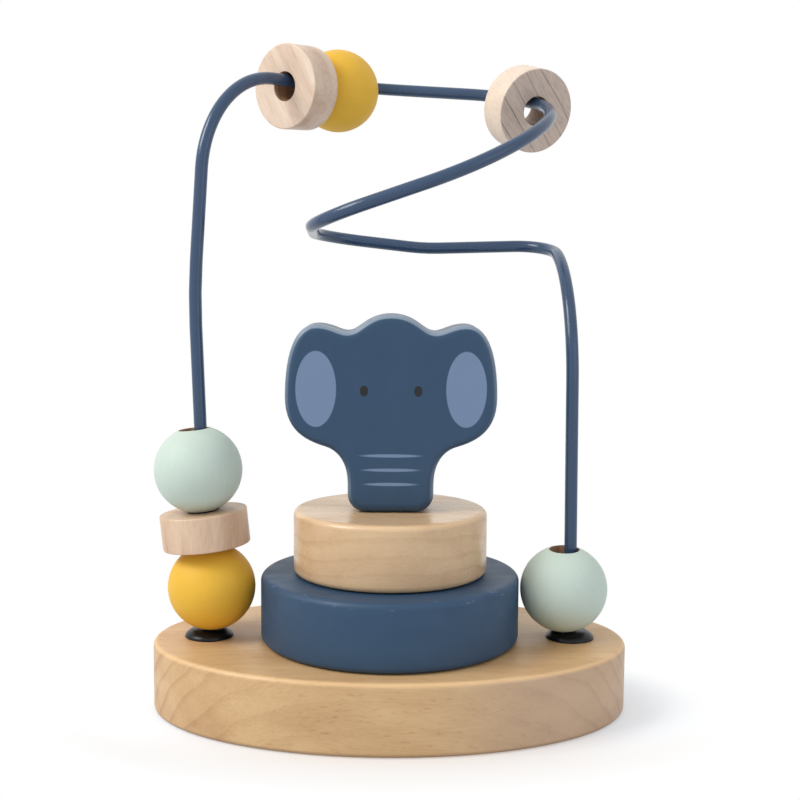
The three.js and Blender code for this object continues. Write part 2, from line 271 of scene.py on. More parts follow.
def turn_on_lathe(profile, steps):
    """Draws a closed (radius, height) profile by extruding a point, and spins it about Z."""
    clear_selection()
    radius, height = profile[0]
    bpy.ops.mesh.primitive_plane_add(size=MM, location=(radius, 0, height))
    piece = bpy.context.object
    bpy.ops.object.mode_set(mode="EDIT")
    bpy.ops.mesh.select_mode(type="VERT")
    bpy.ops.mesh.select_all(action="SELECT")
    bpy.ops.mesh.merge(type="CENTER")
    for (r0, z0), (r1, z1) in zip(profile, profile[1:] + profile[:1]):
        bpy.ops.mesh.extrude_vertices_move(TRANSFORM_OT_translate={"value": (r1 - r0, 0, z1 - z0)})
    bpy.ops.mesh.select_all(action="SELECT")
    bpy.ops.mesh.remove_doubles(threshold=WELD)
    bpy.ops.mesh.spin(
        steps=steps, angle=math.tau, center=(0, 0, 0), axis=(0, 0, 1), use_auto_merge=True)
    bpy.ops.mesh.select_all(action="SELECT")
    bpy.ops.mesh.remove_doubles(threshold=WELD)
    bpy.ops.mesh.normals_make_consistent(inside=False)
    bpy.ops.object.mode_set(mode="OBJECT")
    bpy.ops.object.transform_apply(location=True, rotation=True, scale=True)
    return piece


def copy_of(piece):
    """A copy of a piece, with its own mesh."""
    make_active(piece)
    bpy.ops.object.duplicate(linked=False)
    return bpy.context.object


def soften_edges(piece, width, segments=3, angle=35):
    """Rounds the sharp edges with an applied bevel."""
    make_active(piece)
    bevel = piece.modifiers.new("Softened edges", "BEVEL")
    bevel.width = width
    bevel.segments = segments
    bevel.limit_method = "ANGLE"
    bevel.angle_limit = math.radians(angle)
    bpy.ops.object.modifier_apply(modifier=bevel.name)


def drill(piece, diameter, low, high, x=0.0):
    """Bores an upright hole from one height to another."""
    clear_selection()
    bpy.ops.mesh.primitive_cylinder_add(
        vertices=48, radius=diameter / 2, depth=high - low, location=(x, 0, (low + high) / 2))
    tool = bpy.context.object
    make_active(piece)
    bore = piece.modifiers.new("Bore", "BOOLEAN")
    bore.operation = "DIFFERENCE"
    bore.solver = "EXACT"
    bore.object = tool
    bpy.ops.object.modifier_apply(modifier=bore.name)
    bpy.data.objects.remove(tool)


def round_rims(piece, radius, test):
    """Rounds the rims of a slab, then insets its flat faces so that they shade flat."""
    pick(piece, "EDGE", test)
    bpy.ops.mesh.bevel(offset=radius, segments=6, profile=0.5, affect="EDGES", clamp_overlap=False)
    pick(piece, "FACE", lambda face: len(face.verts) > 8)
    bpy.ops.mesh.inset(thickness=SAWN_RING, use_individual=True)


def finish_piece(piece, name, body, node, slot, *materials):
    """Puts a piece's place into its mesh, smooths it and ties it to the frame."""
    make_active(piece)
    bpy.ops.object.transform_apply(location=True, rotation=True, scale=True)
    bpy.ops.object.shade_smooth_by_angle(angle=math.radians(32))
    piece.name = name
    piece.data.name = name
    for material in materials:
        piece.data.materials.append(material)
    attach(piece, body)
    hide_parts(node)


def bead_place(node):
    """Centre and bore direction of a packed bead, from the spread of its points."""
    upward = Vector((0.3, 0.2, 1))
    low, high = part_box(node)
    points = np.array([point.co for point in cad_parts[node].data.vertices])
    spread, axes = np.linalg.eigh(np.cov(points.T))
    odd = 0 if spread[1] - spread[0] > spread[2] - spread[1] else 2
    axis = Vector(axes[:, odd])
    return (low + high) / 2, axis if axis.dot(upward) > 0 else -axis


def thread_bead(piece, node):
    """Moves a bead that was made upright at the origin to its place on the wire."""
    centre, axis = bead_place(node)
    piece.matrix_world = Matrix.Translation(centre) @ UP.rotation_difference(axis).to_matrix().to_4x4()
    return axis


# Material helpers

def new_material(name, **values):
    """A material with its shader's plain values set on the shader's own sockets."""
    material = bpy.data.materials.new(name)
    material.use_nodes = True
    tree = material.node_tree
    shader = tree.nodes["Principled BSDF"]
    for socket, value in values.items():
        shader.inputs[socket.replace("_", " ")].default_value = value
    return material, tree, shader


def add_node(tree, kind, inputs=None, **settings):
    """Adds one shader node with its settings, and sets or links its inputs."""
    made = tree.nodes.new(kind)
    for name, value in settings.items():
        setattr(made, name, value)
    for socket, value in (inputs or {}).items():
        if isinstance(value, bpy.types.NodeSocket):
            tree.links.new(value, made.inputs[socket])
        else:
            made.inputs[socket].default_value = value
    return made


def per_mm(*sizes):
    """Mapping scale that makes one unit of a pattern as long as each size in millimetres."""
    return tuple(1 / (size * MM) for size in sizes)


def shade(tint, factor):
    """A colour that is darker or paler by a factor, and no brighter than white."""
    return (*(min(1.0, part * factor) for part in tint[:3]), 1.0)


def blotches(tree, place, sizes, detail, roughness=0.5):
    """A random pattern from 0 to 1 whose spots have a size in millimetres along each axis."""
    scaled = add_node(tree, "ShaderNodeMapping", {"Vector": place, "Scale": per_mm(*sizes)})
    return add_node(tree, "ShaderNodeTexNoise", {
        "Vector": scaled.outputs["Vector"], "Scale": 1.0, "Detail": detail,
        "Roughness": roughness}).outputs["Fac"]


def along_grain(grain, layers):
    """Mapping rotation that lays X along the grain and Z across the growth rings."""
    grain = Vector(grain).normalized()
    layers = (Vector(layers) - Vector(layers).dot(grain) * grain).normalized()
    return Matrix((grain, layers.cross(grain), layers)).to_euler()


def growth_rings(tree, laid, ring_mm, line):
    """Late wood from 0 to 1, in sheets across the layers that wander over tens of millimetres."""
    wander_mm = 9
    drift = blotches(tree, laid, (90, 22, 22), detail=2.0)
    ring_place = add_node(tree, "ShaderNodeMapping", {
        "Vector": laid, "Scale": per_mm(ring_mm, ring_mm, ring_mm)})
    rings = add_node(tree, "ShaderNodeSeparateXYZ", {"Vector": ring_place.outputs["Vector"]})
    pushed = add_node(tree, "ShaderNodeMath", {
        0: drift, 1: wander_mm / ring_mm, 2: rings.outputs["Z"]}, operation="MULTIPLY_ADD")
    ring = add_node(tree, "ShaderNodeMath", {0: pushed.outputs[0]}, operation="FRACT")
    return add_node(tree, "ShaderNodeMapRange", {
        "Value": ring.outputs[0], "From Min": 1 - line, "From Max": 1.0},
        interpolation_type="SMOOTHSTEP").outputs[0]


def painted_light_and_wear(tree, source, wood, pale, deep, rub_and_sheen, rosy_and_shade, foot_shade):
    """The wood's colour with wear and painted light: a darker right end that is partly painted shade, a
    pale rim band that is partly a painted highlight, and painted shade along the foot, each by its
    strength.
    """
    # The walls grow darker and greyer towards the plank's right end: painted shade of the side that gets
    # less light, partly the wood's own rosier tone
    shaded_rosy_wood = linear("#bda597")
    plain_mm, shaded_end_mm = 5, 40
    tilt = add_node(tree, "ShaderNodeSeparateXYZ", {"Vector": source.outputs["Normal"]}).outputs["Z"]
    level = add_node(tree, "ShaderNodeMath", {0: tilt, 1: tilt}, operation="MULTIPLY")
    upright = add_node(tree, "ShaderNodeMath", {0: 1.0, 1: level.outputs[0]}, operation="SUBTRACT")
    along_board = add_node(tree, "ShaderNodeSeparateXYZ", {"Vector": source.outputs["Object"]})
    right_end_shade = add_node(tree, "ShaderNodeMapRange", {
        "Value": along_board.outputs["X"], "From Min": plain_mm * MM, "From Max": shaded_end_mm * MM,
        "To Max": rosy_and_shade}, interpolation_type="SMOOTHSTEP")
    right_end_shade = add_node(tree, "ShaderNodeMath", {
        0: right_end_shade.outputs[0], 1: upright.outputs[0]}, operation="MULTIPLY")
    wood = add_node(tree, "ShaderNodeMix", {
        0: right_end_shade.outputs[0], 6: wood, 7: shaded_rosy_wood}, data_type="RGBA").outputs[2]

    # A pale band where a level face turns into the wall: a painted highlight on the rounded rims, partly
    # wear
    rim = add_node(tree, "ShaderNodeMath", {
        0: level.outputs[0], 1: upright.outputs[0]}, operation="MULTIPLY")
    rim_sheen = add_node(tree, "ShaderNodeMapRange", {
        "Value": rim.outputs[0], "From Min": 0.05, "From Max": 0.25, "To Max": rub_and_sheen})
    wood = add_node(tree, "ShaderNodeMix", {
        0: rim_sheen.outputs[0], 6: wood, 7: shade(pale, 1.3)}, data_type="RGBA").outputs[2]

    # Painted shade along the foot, darker where a rim turns down to the table
    foot = add_node(tree, "ShaderNodeMapRange", {
        "Value": tilt, "From Min": -0.1, "From Max": -0.7, "To Max": foot_shade})
    wood = add_node(tree, "ShaderNodeMix", {
        0: foot.outputs[0], 6: wood, 7: shade(deep, 0.5)}, data_type="RGBA").outputs[2]
    return wood


def sanded_beech(
        name, pale, deep, grain, layers, cut, ring_mm, line=0.4, figure=0.1, cut_figure=0.5,
        wall_tone_and_shade=0.0, cut_tone_and_shade=0.15, patch_mm=(32, 10), patch=0.35, fleck=0.35, roughness=0.42,
        rub_and_sheen=0.0, rosy_and_shade=0.0, foot_shade=0.0):
    """Sanded beech under a thin clear coat: thin growth lines, fine pores and short darker ray flecks.

    line is the dark share of each ring. figure and cut_figure are how strongly the rings show on the walls
    and on the cut faces, and the wall and cut tones are how deep those are in colour; on the disc beads
    they are partly painted shade. patch and fleck are the strengths of such marks. The last three are
    strengths of a pale rim band that is a painted highlight and partly wear, of a darker right end that is
    painted shade and partly the wood's tone, and of painted shade along the foot.
    """
    material, tree, shader = new_material(name, IOR=1.5)
    source = add_node(tree, "ShaderNodeTexCoord")
    laid = add_node(tree, "ShaderNodeMapping", {
        "Vector": source.outputs["Object"], "Rotation": along_grain(grain, layers)}).outputs["Vector"]

    # The rings' lines stand out most on the cut faces, which also drink more of the coat; on the disc
    # beads the wall and face tones are partly painted shade of the sides that turn away from the light
    late = growth_rings(tree, laid, ring_mm, line)
    facing = add_node(tree, "ShaderNodeVectorMath", {
        0: source.outputs["Normal"], 1: Vector(cut).normalized()}, operation="DOT_PRODUCT")
    ends = add_node(tree, "ShaderNodeMath", {
        0: facing.outputs["Value"], 1: facing.outputs["Value"]}, operation="MULTIPLY")
    ring_strength = add_node(tree, "ShaderNodeMapRange", {
        "Value": ends.outputs[0], "To Min": figure, "To Max": cut_figure})
    ring_tone = add_node(tree, "ShaderNodeMath", {
        0: late, 1: ring_strength.outputs[0]}, operation="MULTIPLY")
    tone = add_node(tree, "ShaderNodeMapRange", {
        "Value": ends.outputs[0], "To Min": wall_tone_and_shade, "To Max": cut_tone_and_shade})

    # Broad patches of deeper tone, a few centimetres long
    long, wide = patch_mm
    patches = blotches(tree, laid, (long, wide, wide), detail=3.0)
    patch_tone = add_node(tree, "ShaderNodeMapRange", {
        "Value": patches, "From Min": 0.35, "From Max": 0.7, "To Max": patch})

    # Pores: hair lines along the grain, drawn a little coarser than real ones so that they show
    pores = blotches(tree, laid, (7, 0.5, 0.5), detail=4.0, roughness=0.6)
    pore_tone = add_node(tree, "ShaderNodeMapRange", {
        "Value": pores, "From Min": 0.42, "From Max": 0.75, "To Max": 0.25})

    # Flecks: flakes about 2 mm long that lie in the ring sheets and show on long grain only
    flecks = blotches(tree, laid, (2.6, 1.8, 0.38), detail=1.0)
    fleck_tone = add_node(tree, "ShaderNodeMapRange", {
        "Value": flecks, "From Min": 0.6, "From Max": 0.76, "To Max": fleck})
    along = add_node(tree, "ShaderNodeVectorMath", {
        0: source.outputs["Normal"], 1: Vector(grain).normalized()}, operation="DOT_PRODUCT")
    end_grain = add_node(tree, "ShaderNodeMath", {0: along.outputs["Value"]}, operation="ABSOLUTE")
    long_grain = add_node(tree, "ShaderNodeMath", {
        0: 1.0, 1: end_grain.outputs[0]}, operation="SUBTRACT")
    fleck_tone = add_node(tree, "ShaderNodeMath", {
        0: fleck_tone.outputs[0], 1: long_grain.outputs[0]}, operation="MULTIPLY")

    for share in (ring_tone, patch_tone, pore_tone, fleck_tone):
        tone = add_node(tree, "ShaderNodeMath", {
            0: tone.outputs[0], 1: share.outputs[0]}, operation="ADD", use_clamp=True)
    wood = add_node(tree, "ShaderNodeMix", {
        0: tone.outputs[0], 6: tuple(pale), 7: tuple(deep)}, data_type="RGBA")
    wood = painted_light_and_wear(tree, source, wood.outputs[2], pale, deep, rub_and_sheen, rosy_and_shade, foot_shade)
    tree.links.new(wood, shader.inputs["Base Color"])
    polish = add_node(tree, "ShaderNodeMapRange", {
        "Value": patches, "From Min": 0.3, "From Max": 0.7,
        "To Min": roughness - 0.06, "To Max": roughness + 0.08})
    tree.links.new(polish.outputs[0], shader.inputs["Roughness"])
    bump = add_node(tree, "ShaderNodeBump", {
        "Height": pores, "Strength": 0.1, "Distance": 0.12 * MM})
    tree.links.new(bump.outputs["Normal"], shader.inputs["Normal"])
    return material


def painted_wood(name, paint, grain, layers, roughness, sheen=0.5, streak=0.3):
    """Paint rolled on smooth wood: even colour, faint streaks along the grain, a slightly uneven coat.

    Gives the material, its tree, its colour and its coordinates, so that more can be laid on the paint.
    """
    material, tree, shader = new_material(name, IOR=1.48, Specular_IOR_Level=sheen)
    source = add_node(tree, "ShaderNodeTexCoord")
    laid = add_node(tree, "ShaderNodeMapping", {
        "Vector": source.outputs["Object"], "Rotation": along_grain(grain, layers)}).outputs["Vector"]
    streaks = blotches(tree, laid, (12, 0.8, 0.8), detail=4.0, roughness=0.6)
    unevenness = blotches(tree, laid, (11, 6, 6), detail=3.0)
    mottled = add_node(tree, "ShaderNodeMath", {0: streaks, 1: unevenness}, operation="MULTIPLY")
    tone = add_node(tree, "ShaderNodeMapRange", {
        "Value": mottled.outputs[0], "From Min": 0.12, "From Max": 0.42, "To Max": streak})
    coat = add_node(tree, "ShaderNodeMix", {
        0: tone.outputs[0], 6: tuple(paint), 7: shade(paint, 0.78)}, data_type="RGBA").outputs[2]
    tree.links.new(coat, shader.inputs["Base Color"])
    gloss = add_node(tree, "ShaderNodeMapRange", {
        "Value": unevenness, "From Min": 0.3, "From Max": 0.7,
        "To Min": roughness - 0.06, "To Max": roughness + 0.06})
    tree.links.new(gloss.outputs[0], shader.inputs["Roughness"])
    swell = add_node(tree, "ShaderNodeBump", {
        "Height": unevenness, "Strength": 0.35, "Distance": 0.25 * MM})
    bump = add_node(tree, "ShaderNodeBump", {
        "Height": streaks, "Strength": 0.12, "Distance": 0.1 * MM, "Normal": swell.outputs["Normal"]})
    tree.links.new(bump.outputs["Normal"], shader.inputs["Normal"])
    return material, tree, coat, source


def coated_wire(name, coat):
    """Steel wire dipped in soft plastic: smooth and half glossy, with a slow waver in the coat."""
    material, tree, shader = new_material(name, IOR=1.48)
    source = add_node(tree, "ShaderNodeTexCoord")
    waver = blotches(tree, source.outputs["Object"], (6, 6, 6), detail=3.0)
    tone = add_node(tree, "ShaderNodeMapRange", {
        "Value": waver, "From Min": 0.3, "From Max": 0.7, "To Max": 0.35})
    skin = add_node(tree, "ShaderNodeMix", {
        0: tone.outputs[0], 6: tuple(coat), 7: shade(coat, 0.85)}, data_type="RGBA")
    tree.links.new(skin.outputs[2], shader.inputs["Base Color"])
    gloss = add_node(tree, "ShaderNodeMapRange", {
        "Value": waver, "From Min": 0.3, "From Max": 0.7, "To Min": 0.15, "To Max": 0.25})
    tree.links.new(gloss.outputs[0], shader.inputs["Roughness"])
    bump = add_node(tree, "ShaderNodeBump", {
        "Height": waver, "Strength": 0.25, "Distance": 0.3 * MM})
    tree.links.new(bump.outputs["Normal"], shader.inputs["Normal"])
    return material


def black_plastic(name, plastic):
    """Moulded black plastic: half glossy, with the fine matt grain of the mould and a little grey dust."""
    material, tree, shader = new_material(name, IOR=1.5, Specular_IOR_Level=0.26)
    source = add_node(tree, "ShaderNodeTexCoord")
    mould = blotches(tree, source.outputs["Object"], (0.5, 0.5, 0.5), detail=2.0)
    gloss = add_node(tree, "ShaderNodeMapRange", {
        "Value": mould, "From Min": 0.3, "From Max": 0.7, "To Min": 0.27, "To Max": 0.33})
    tree.links.new(gloss.outputs[0], shader.inputs["Roughness"])
    dust = add_node(tree, "ShaderNodeMapRange", {
        "Value": mould, "From Min": 0.55, "From Max": 0.8, "To Max": 0.12})
    skin = add_node(tree, "ShaderNodeMix", {
        0: dust.outputs[0], 6: tuple(plastic), 7: shade(plastic, 3)}, data_type="RGBA")
    tree.links.new(skin.outputs[2], shader.inputs["Base Color"])
    return material


# Pieces

class BEADTOY_OT_board(bpy.types.Operator):
    """Models the oval board with its rounded rims and bored sockets"""

    bl_idname = "bead_toy.board"
    bl_label = "Oval board"

    def execute(self, context):
        sizes = context.scene.bead_toy.board
        half = (BOARD_HIGH - BOARD_LOW) / 2
        clear_selection()
        bpy.ops.mesh.primitive_circle_add(vertices=200, radius=half.x, fill_type="NGON")
        board = context.object
        bpy.ops.object.mode_set(mode="EDIT")
        bpy.ops.mesh.select_all(action="SELECT")
        bpy.ops.transform.resize(value=(1, half.y / half.x, 1), center_override=(0, 0, 0))
        bpy.ops.mesh.extrude_region_move(TRANSFORM_OT_translate={"value": (0, 0, BOARD_TOP)})
        bpy.ops.mesh.select_all(action="SELECT")
        bpy.ops.mesh.normals_make_consistent(inside=False)
        round_rims(board, sizes.edge_radius, lambda edge: edge.verts[0].co.z == edge.verts[1].co.z)
        clear_selection()
        above = BOARD_TOP + MM
        drill(board, sizes.post_bore, BOARD_TOP - sizes.post_bore_depth, above)
        for x in SOCKET_X.values():
            drill(board, sizes.collar_bore, BOARD_TOP - sizes.collar_bore_depth, above, x)
            drill(board, sizes.wire_bore, BOARD_TOP - sizes.wire_bore_depth, above, x)
        # The last three settings paint light: a rim highlight, shade at the right end and shade along the
        # foot
        beech = sanded_beech(
            "Sanded beech board", sizes.pale, sizes.deep,
            grain=(1, 0.04, -0.05), layers=(0.1, 0.8, 0.6), cut=(1, 0, 0), ring_mm=4.8, cut_figure=0.6,
            patch=0.5, fleck=0.45, rub_and_sheen=0.42, rosy_and_shade=0.4, foot_shade=0.7)
        finish_piece(board, "oval_board", "frame", "base_board", "beech", beech)
        return {"FINISHED"}


def wire_corners():
    """The wire's corners and their radii in metres, from the left foot over the top to the right foot."""
    def placed(corners, x):
        return [(Vector((x, 0, BOARD_TOP)) + Vector(at) * MM, bend * MM) for at, bend in corners]

    left, right = SOCKET_X["left"], SOCKET_X["right"]
    feet = [(Vector((x, 0, WIRE_FOOT_Z)), 0) for x in (left, right)]
    return [
        feet[0], *placed(LEFT_LEG, left), *placed(UPPER_LOOPS, 0), *placed(RIGHT_LEG, right), feet[1]]


class BEADTOY_OT_wire(bpy.types.Operator):
    """Draws out the wire: straight runs are extruded, and each bend is spun about its own centre"""

    bl_idname = "bead_toy.wire"
    bl_label = "Bent wire"

    def execute(self, context):
        sizes = context.scene.bead_toy.wire
        degrees_per_step = 3
        corners = wire_corners()
        end = corners[0][0]
        clear_selection()
        bpy.ops.mesh.primitive_circle_add(
            vertices=sizes.sides, radius=sizes.diameter / 2, location=end, fill_type="NOTHING")
        wire = context.object
        bpy.ops.object.mode_set(mode="EDIT")
        bpy.ops.mesh.select_mode(type="EDGE")
        bpy.ops.mesh.select_all(action="SELECT")
        for (before, _), (corner, radius), (after, _) in zip(corners, corners[1:], corners[2:]):
            back = (before - corner).normalized()
            ahead = (after - corner).normalized()
            half = back.angle(ahead) / 2
            start = corner + back * (radius / math.tan(half))
            centre = corner + (back + ahead).normalized() * (radius / math.sin(half))
            turn = math.pi - 2 * half
            bpy.ops.mesh.extrude_edges_move(TRANSFORM_OT_translate={"value": start - end})
            bpy.ops.mesh.spin(
                steps=max(2, math.ceil(math.degrees(turn) / degrees_per_step)), angle=turn,
                center=centre, axis=back.cross(ahead).normalized())
            end = corner + ahead * (radius / math.tan(half))
        bpy.ops.mesh.extrude_edges_move(TRANSFORM_OT_translate={"value": corners[-1][0] - end})
        bpy.ops.mesh.select_all(action="SELECT")
        bpy.ops.mesh.fill_holes(sides=0)
        bpy.ops.mesh.select_all(action="SELECT")
        bpy.ops.mesh.normals_make_consistent(inside=False)
        clear_selection()
        finish_piece(
            wire, "bent_wire", "frame", "maze_wire", "blue_coated_steel",
            coated_wire("Blue plastic coat on steel wire", sizes.coat))
        return {"FINISHED"}


class BEADTOY_OT_collars(bpy.types.Operator):
    """Turns the two flared collars at the wire's feet"""

    bl_idname = "bead_toy.collars"
    bl_label = "Wire collars"

    def execute(self, context):
        sizes = context.scene.bead_toy.wire
        plastic = black_plastic("Moulded black plastic", sizes.plastic)
        turned = turn_on_lathe(self.section(sizes), steps=72)
        soften_edges(turned, sizes.collar_edge)
        for side, x in SOCKET_X.items():
            node = side + "_collar"
            collar = copy_of(turned)
            collar.location.x = x
            finish_piece(collar, side + "_flared_collar", "frame", node, "black_plastic", plastic)
        bpy.data.objects.remove(turned)
        return {"FINISHED"}

    def section(self, sizes):
        """A collar's (radius, height) profile: shank, foot, upright lip, flare like a bell, top."""
        low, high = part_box("left_collar")
        flange, neck, hole, shank = (
            size / 2 for size in (sizes.flange, sizes.neck, sizes.hole, sizes.shank))
        foot = BOARD_TOP + sizes.collar_gap
        lip = foot + sizes.lip * (high.z - foot)
        flare = [
            (neck + (flange - neck) * math.cos(math.pi / 2 * share) ** sizes.fullness,
             lip + (high.z - lip) * share)
            for share in (0, 0.15, 0.3, 0.45, 0.6, 0.75, 0.9)]
        return [
            (hole, low.z), (shank, low.z), (shank, foot), (flange, foot), *flare,
            (neck, high.z), (hole, high.z)]


class BEADTOY_OT_discs(bpy.types.Operator):
    """Turns the blue lower disc and the bare upper disc of the stack"""

    bl_idname = "bead_toy.discs"
    bl_label = "Stack discs"

    def execute(self, context):
        sizes = context.scene.bead_toy.stack
        blue = self.scuffed_paint(sizes)
        # Its pale rim band is partly a painted highlight
        beech = sanded_beech(
            "Sanded beech disc", sizes.pale, sizes.deep,
            grain=(1, -0.12, 0.02), layers=(0.03, 0.15, 1), cut=(1, 0, 0), ring_mm=4.5, figure=0.16,
            cut_figure=0.35, patch_mm=(24, 6), patch=0.35, fleck=0.25, roughness=0.28, rub_and_sheen=0.3)
        for node, name, slot, skin in (
                ("lower_disc", "blue_disc", "blue_paint", blue),
                ("upper_disc", "beech_disc", "beech", beech)):
            low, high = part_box(node)
            disc = turn_on_lathe(
                disc_profile(sizes.bore / 2, high.y, low.z, high.z, sizes.edge_radius, steps=7), steps=144)
            finish_piece(disc, name, node, node, slot, skin)
        return {"FINISHED"}

    def scuffed_paint(self, sizes):
        """The lower disc's blue paint, with a few small scuffs along the upper rim."""
        material, tree, coat, source = painted_wood(
            "Matt blue paint on wood", sizes.blue, grain=(1, 0.2, 0), layers=(0, 0.3, 1),
            roughness=0.54, sheen=0.55)
        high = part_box("lower_disc")[1]
        place = add_node(tree, "ShaderNodeSeparateXYZ", {"Vector": source.outputs["Object"]})
        flat = add_node(tree, "ShaderNodeCombineXYZ", {"X": place.outputs["X"], "Y": place.outputs["Y"]})
        reach = add_node(tree, "ShaderNodeVectorMath", {0: flat.outputs["Vector"]}, operation="LENGTH")
        outer = add_node(tree, "ShaderNodeMath", {
            0: reach.outputs["Value"], 1: high.y - sizes.edge_radius}, operation="GREATER_THAN")
        upper = add_node(tree, "ShaderNodeMath", {
            0: place.outputs["Z"], 1: high.z - sizes.edge_radius}, operation="GREATER_THAN")
        rim = add_node(tree, "ShaderNodeMath", {
            0: outer.outputs[0], 1: upper.outputs[0]}, operation="MULTIPLY")
        spots = blotches(tree, source.outputs["Object"], (2.6, 2.6, 0.9), detail=3.0)
        scuffs = add_node(tree, "ShaderNodeMapRange", {
            "Value": spots, "From Min": 0.62, "From Max": 0.74, "To Max": 0.55})
        worn = add_node(tree, "ShaderNodeMath", {
            0: scuffs.outputs[0], 1: rim.outputs[0]}, operation="MULTIPLY")
        skin = add_node(tree, "ShaderNodeMix", {
            0: worn.outputs[0], 6: coat, 7: tuple(sizes.print_pale)}, data_type="RGBA")
        tree.links.new(skin.outputs[2], tree.nodes["Principled BSDF"].inputs["Base Color"])
        return material


def bezier(start, leave, arrive, end, steps):
    """Points along one outline piece, without its last point."""
    points = []
    for i in range(steps):
        s = i / steps
        weights = ((1 - s) ** 3, 3 * s * (1 - s) ** 2, 3 * s * s * (1 - s), s ** 3)
        points.append(tuple(
            sum(w * p[k] for w, p in zip(weights, (start, leave, arrive, end))) for k in (0, 1)))
    return points


def head_outline():
    """The head's whole outline as (x, height) in metres, anticlockwise from the foot's right corner."""
    point = HEAD_START
    half = []
    for leave, arrive, end in HEAD_OUTLINE:
        half += bezier(point, leave, arrive, end, steps=14)
        point = end
    mirrored = [(-x, height) for x, height in reversed(half)]
    return [(x * MM, height * MM) for x, height in half + [point] + mirrored]


class BEADTOY_OT_head(bpy.types.Operator):
    """Saws the flat head from its outline, rounds its edges and prints its face"""

    bl_idname = "bead_toy.head"
    bl_label = "Flat head"

    def execute(self, context):
        sizes = context.scene.bead_toy.stack
        low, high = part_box("elephant_head")
        outline = head_outline()
        clear_selection()
        bpy.ops.mesh.primitive_circle_add(vertices=len(outline), radius=high.x, fill_type="NGON")
        head = context.object
        for vertex, (x, height) in zip(head.data.vertices, outline):
            vertex.co = (x, high.y, low.z + height)
        bpy.ops.object.mode_set(mode="EDIT")
        bpy.ops.mesh.select_all(action="SELECT")
        bpy.ops.mesh.extrude_region_move(TRANSFORM_OT_translate={"value": (0, low.y - high.y, 0)})
        bpy.ops.mesh.select_all(action="SELECT")
        bpy.ops.mesh.normals_make_consistent(inside=False)
        round_rims(
            head, sizes.head_edge, lambda edge: abs(edge.verts[0].co.y - edge.verts[1].co.y) < WELD)
        clear_selection()
        drill(head, sizes.head_bore, low.z - MM, low.z + sizes.head_bore_depth)
        paint = self.printed_paint(sizes, low)
        finish_piece(head, "flat_head", "frame", "elephant_head", "blue_paint", paint)
        return {"FINISHED"}

    def printed_paint(self, sizes, low):
        """The head's blue paint with a print on its front: ear patches, eyes and creases on the trunk."""
        material, tree, coat, source = painted_wood(
            "Printed blue paint on wood", sizes.blue, grain=(0.1, 0, 1), layers=(1, 0.2, 0),
            roughness=0.38)

        # Centre and half size in mm of each oval, mirrored to both sides
        ovals = (
            ((20.8, 34.5), (5.6, 10.5), sizes.print_pale),
            ((0, 12), (7.5, 0.45), sizes.print_pale),
            ((0, 16), (8, 0.45), sizes.print_pale),
            ((0, 8), (7, 0.45), sizes.print_pale),
            ((7.5, 34), (1.15, 1.5), sizes.print_dark),
        )
        place = add_node(tree, "ShaderNodeSeparateXYZ", {"Vector": source.outputs["Object"]})
        beside = add_node(tree, "ShaderNodeMath", {0: place.outputs["X"]}, operation="ABSOLUTE")
        flat = add_node(tree, "ShaderNodeCombineXYZ", {"X": beside.outputs[0], "Z": place.outputs["Z"]})
        front = add_node(tree, "ShaderNodeMath", {
            0: place.outputs["Y"], 1: low.y + PRINT_DEPTH}, operation="LESS_THAN")

        # Painted highlight: the upward-facing rims, where the front and back turn into the sawn edge, are
        # painted paler
        edge = sizes.head_edge
        turned = add_node(tree, "ShaderNodeSeparateXYZ", {"Vector": source.outputs["Normal"]})
        facing = add_node(tree, "ShaderNodeMath", {0: turned.outputs["Y"]}, operation="ABSOLUTE")
        depth = add_node(tree, "ShaderNodeMath", {0: place.outputs["Y"]}, operation="ABSOLUTE")
        near_rim = add_node(tree, "ShaderNodeMapRange", {
            "Value": depth.outputs[0], "From Min": -low.y - 1.5 * edge, "From Max": -low.y - edge})
        rounded = add_node(tree, "ShaderNodeMapRange", {
            "Value": facing.outputs[0], "From Min": 0.88, "From Max": 0.76, "To Max": 0.6})
        upward = add_node(tree, "ShaderNodeMapRange", {
            "Value": turned.outputs["Z"], "From Min": -0.4, "From Max": 0.6})
        rim = add_node(tree, "ShaderNodeMath", {
            0: rounded.outputs[0], 1: near_rim.outputs[0]}, operation="MULTIPLY")
        rim = add_node(tree, "ShaderNodeMath", {
            0: rim.outputs[0], 1: upward.outputs[0]}, operation="MULTIPLY")
        skin = add_node(tree, "ShaderNodeMix", {
            0: rim.outputs[0], 6: coat, 7: tuple(sizes.rim_sheen)}, data_type="RGBA").outputs[2]

        # The print lies on top, one oval after another
        for (x, height), (across, up), ink in ovals:
            centre = (x * MM, 0, low.z + height * MM)
            off = add_node(tree, "ShaderNodeVectorMath", {
                0: flat.outputs["Vector"], 1: centre}, operation="SUBTRACT")
            across_scale, up_scale = per_mm(across, up)
            share = add_node(tree, "ShaderNodeVectorMath", {
                0: off.outputs["Vector"], 1: (across_scale, 0, up_scale)}, operation="MULTIPLY")
            reach = add_node(tree, "ShaderNodeVectorMath", {
                0: share.outputs["Vector"]}, operation="LENGTH")
            soft = INK_BLEED_MM / min(across, up)
            inside = add_node(tree, "ShaderNodeMapRange", {
                "Value": reach.outputs["Value"], "From Min": 1 + soft, "From Max": 1 - soft})
            shown = add_node(tree, "ShaderNodeMath", {
                0: inside.outputs[0], 1: front.outputs[0]}, operation="MULTIPLY")
            skin = add_node(tree, "ShaderNodeMix", {
                0: shown.outputs[0], 6: skin, 7: tuple(ink)}, data_type="RGBA").outputs[2]
        tree.links.new(skin, tree.nodes["Principled BSDF"].inputs["Base Color"])
        return material


